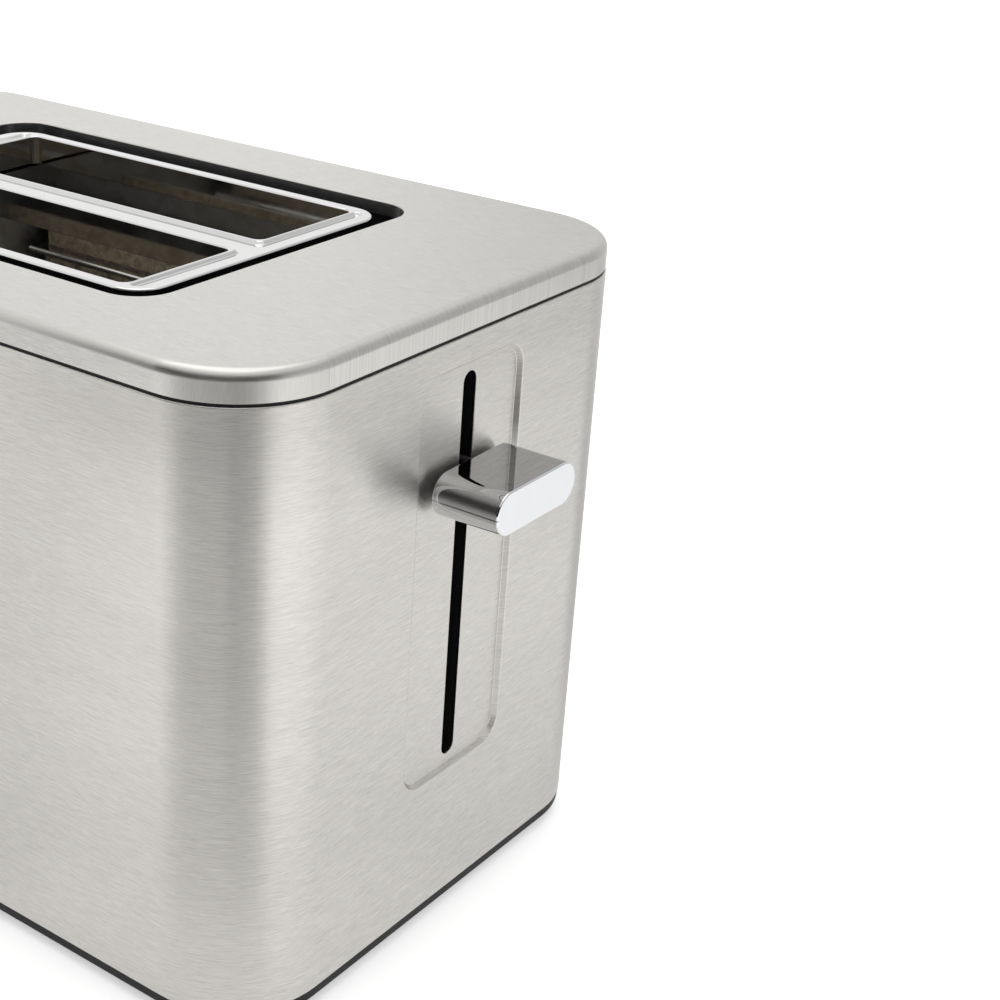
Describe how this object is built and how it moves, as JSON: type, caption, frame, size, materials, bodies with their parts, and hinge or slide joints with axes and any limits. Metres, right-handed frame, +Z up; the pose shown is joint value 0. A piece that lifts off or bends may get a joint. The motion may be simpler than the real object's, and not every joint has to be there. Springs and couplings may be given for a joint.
{
  "type": "pop up toaster",
  "caption": "Pop up toaster with a brushed steel wrap, flat lid, polished slot frame, end lever, front dial and buttons, sprung bread carriage and pull-out crumb tray.",
  "frame": {"origin": "on the standing surface, under the middle of the overall box, which takes in the lever knob, the dial, the cord bush and the tray pull", "axes": "+X towards the lever end, along the bread slots; -Y is the front with the dial and buttons; +Z up"},
  "size_m": [0.3146, 0.198, 0.1896],
  "materials": {
    "brushed_steel": "fine horizontal brushing",
    "polished_chrome": "mirror polish",
    "satin_metal": "satin, turned face",
    "black_plastic": "fine moulded grain",
    "gland_rubber": "matt",
    "foot_rubber": "matt",
    "chassis_steel": "zinc coated sheet",
    "tray_steel": "brushed end panel, plain tray",
    "bright_wire": "drawn wire",
    "carriage_steel": "zinc coated",
    "screw_steel": "zinc coated",
    "spring_steel": "drawn wire",
    "mica": "layered flake board",
    "heating_alloy": "oxidised",
    "bush_brass": "turned",
    "magnet_iron": "laminated",
    "coil_former": "moulded",
    "coil_copper": "enamelled wire",
    "board_green": "coated board",
    "component_black": "moulded",
    "contact_bronze": "rolled strip",
    "lamp_clear": "clear lens"
  },
  "bodies": {
    "casing": {"base_moulding": "black_plastic", "base_screws": "screw_steel", "board_posts": "chassis_steel", "centre_heating_wire": "heating_alloy", "centre_mica_board": "mica", "control_board": "board_green", "control_housing": "black_plastic", "cord_gland": "gland_rubber", "dial_ring": "polished_chrome", "far_end_plate": "chassis_steel", "far_end_sheet": "brushed_steel", "front_heat_shield": "chassis_steel", "front_heating_wire": "heating_alloy", "front_mica_board": "mica", "front_sheet": "brushed_steel", "guide_rod": "carriage_steel", "indicator_lamps": "lamp_clear", "lever_end_plate": "chassis_steel", "lever_end_sheet": "brushed_steel", "lever_guide": "black_plastic", "lid": "brushed_steel", "magnet_bobbin": "coil_former", "magnet_bracket": "chassis_steel", "magnet_core": "magnet_iron", "magnet_winding": "coil_copper", "main_board": "board_green", "main_board_parts": "component_black", "potentiometer": "black_plastic", "rear_heat_shield": "chassis_steel", "rear_heating_wire": "heating_alloy", "rear_mica_board": "mica", "rear_sheet": "brushed_steel", "return_spring": "spring_steel", "rubber_feet": "foot_rubber", "slot_frame": "polished_chrome", "switch_contacts": "contact_bronze", "tact_switches": "black_plastic", "terminal_block": "black_plastic", "top_screws": "screw_steel", "upper_frame": "black_plastic"},
    "carriage": {"front_slot_rack": "carriage_steel", "rear_slot_rack": "carriage_steel", "carriage_bracket": "carriage_steel", "guide_bush": "bush_brass", "latch_plate": "carriage_steel", "lever_arm": "carriage_steel", "lever_knob": "polished_chrome"},
    "tray": {"crumb_tray": "tray_steel", "tray_walls": "tray_steel", "tray_handle": "black_plastic"},
    "dial": {"browning_dial": "satin_metal", "dial_shaft": "carriage_steel"},
    "cancel": {"cancel_button": "polished_chrome"},
    "reheat": {"reheat_button": "polished_chrome"},
    "frozen": {"frozen_button": "polished_chrome"},
    "front_near_guard": {"front_slot_near_guard": "bright_wire"},
    "front_back_guard": {"front_slot_back_guard": "bright_wire"},
    "rear_near_guard": {"rear_slot_near_guard": "bright_wire"},
    "rear_back_guard": {"rear_slot_back_guard": "bright_wire"}
  },
  "joints": [
    {"name": "carriage_slide", "type": "slide", "parent": "casing", "child": "carriage", "axis": [0, 0, 1], "range_m": [-0.078, 0.02], "stiffness_N_per_m": 60, "springref_m": 0.0202, "deforming": ["return_spring"]},
    {"name": "tray_slide", "type": "slide", "parent": "casing", "child": "tray", "axis": [-1, 0, 0], "range_m": [0, 0.2]},
    {"name": "dial_turn", "type": "hinge", "parent": "casing", "child": "dial", "pos_m": [-0.0943, -0.088, 0.062], "axis": [0, 1, 0], "range_deg": [-135, 135]},
    {"name": "cancel_press", "type": "slide", "parent": "casing", "child": "cancel", "axis": [0, 1, 0], "range_m": [0, 0.0015], "stiffness_N_per_m": 1000, "springref_m": -0.0005},
    {"name": "reheat_press", "type": "slide", "parent": "casing", "child": "reheat", "axis": [0, 1, 0], "range_m": [0, 0.0015], "stiffness_N_per_m": 1000, "springref_m": -0.0005},
    {"name": "frozen_press", "type": "slide", "parent": "casing", "child": "frozen", "axis": [0, 1, 0], "range_m": [0, 0.0015], "stiffness_N_per_m": 1000, "springref_m": -0.0005},
    {"name": "front_near_guard_lean", "type": "hinge", "parent": "casing", "child": "front_near_guard", "pos_m": [-0.0093, -0.0441, 0.034], "axis": [1, 0, 0], "range_deg": [-3.1, 0.85]},
    {"name": "front_back_guard_lean", "type": "hinge", "parent": "casing", "child": "front_back_guard", "pos_m": [-0.0093, -0.0101, 0.034], "axis": [1, 0, 0], "range_deg": [-0.85, 3.1]},
    {"name": "rear_near_guard_lean", "type": "hinge", "parent": "casing", "child": "rear_near_guard", "pos_m": [-0.0093, 0.0101, 0.034], "axis": [1, 0, 0], "range_deg": [-3.1, 0.85]},
    {"name": "rear_back_guard_lean", "type": "hinge", "parent": "casing", "child": "rear_back_guard", "pos_m": [-0.0093, 0.0441, 0.034], "axis": [1, 0, 0], "range_deg": [-0.85, 3.1]}
  ],
  "couplings": [
    {"joint": "front_near_guard_lean", "follows": "carriage_slide", "rad_per_m": 0.671},
    {"joint": "front_back_guard_lean", "follows": "carriage_slide", "rad_per_m": -0.671},
    {"joint": "rear_near_guard_lean", "follows": "carriage_slide", "rad_per_m": 0.671},
    {"joint": "rear_back_guard_lean", "follows": "carriage_slide", "rad_per_m": -0.671}
  ]
}
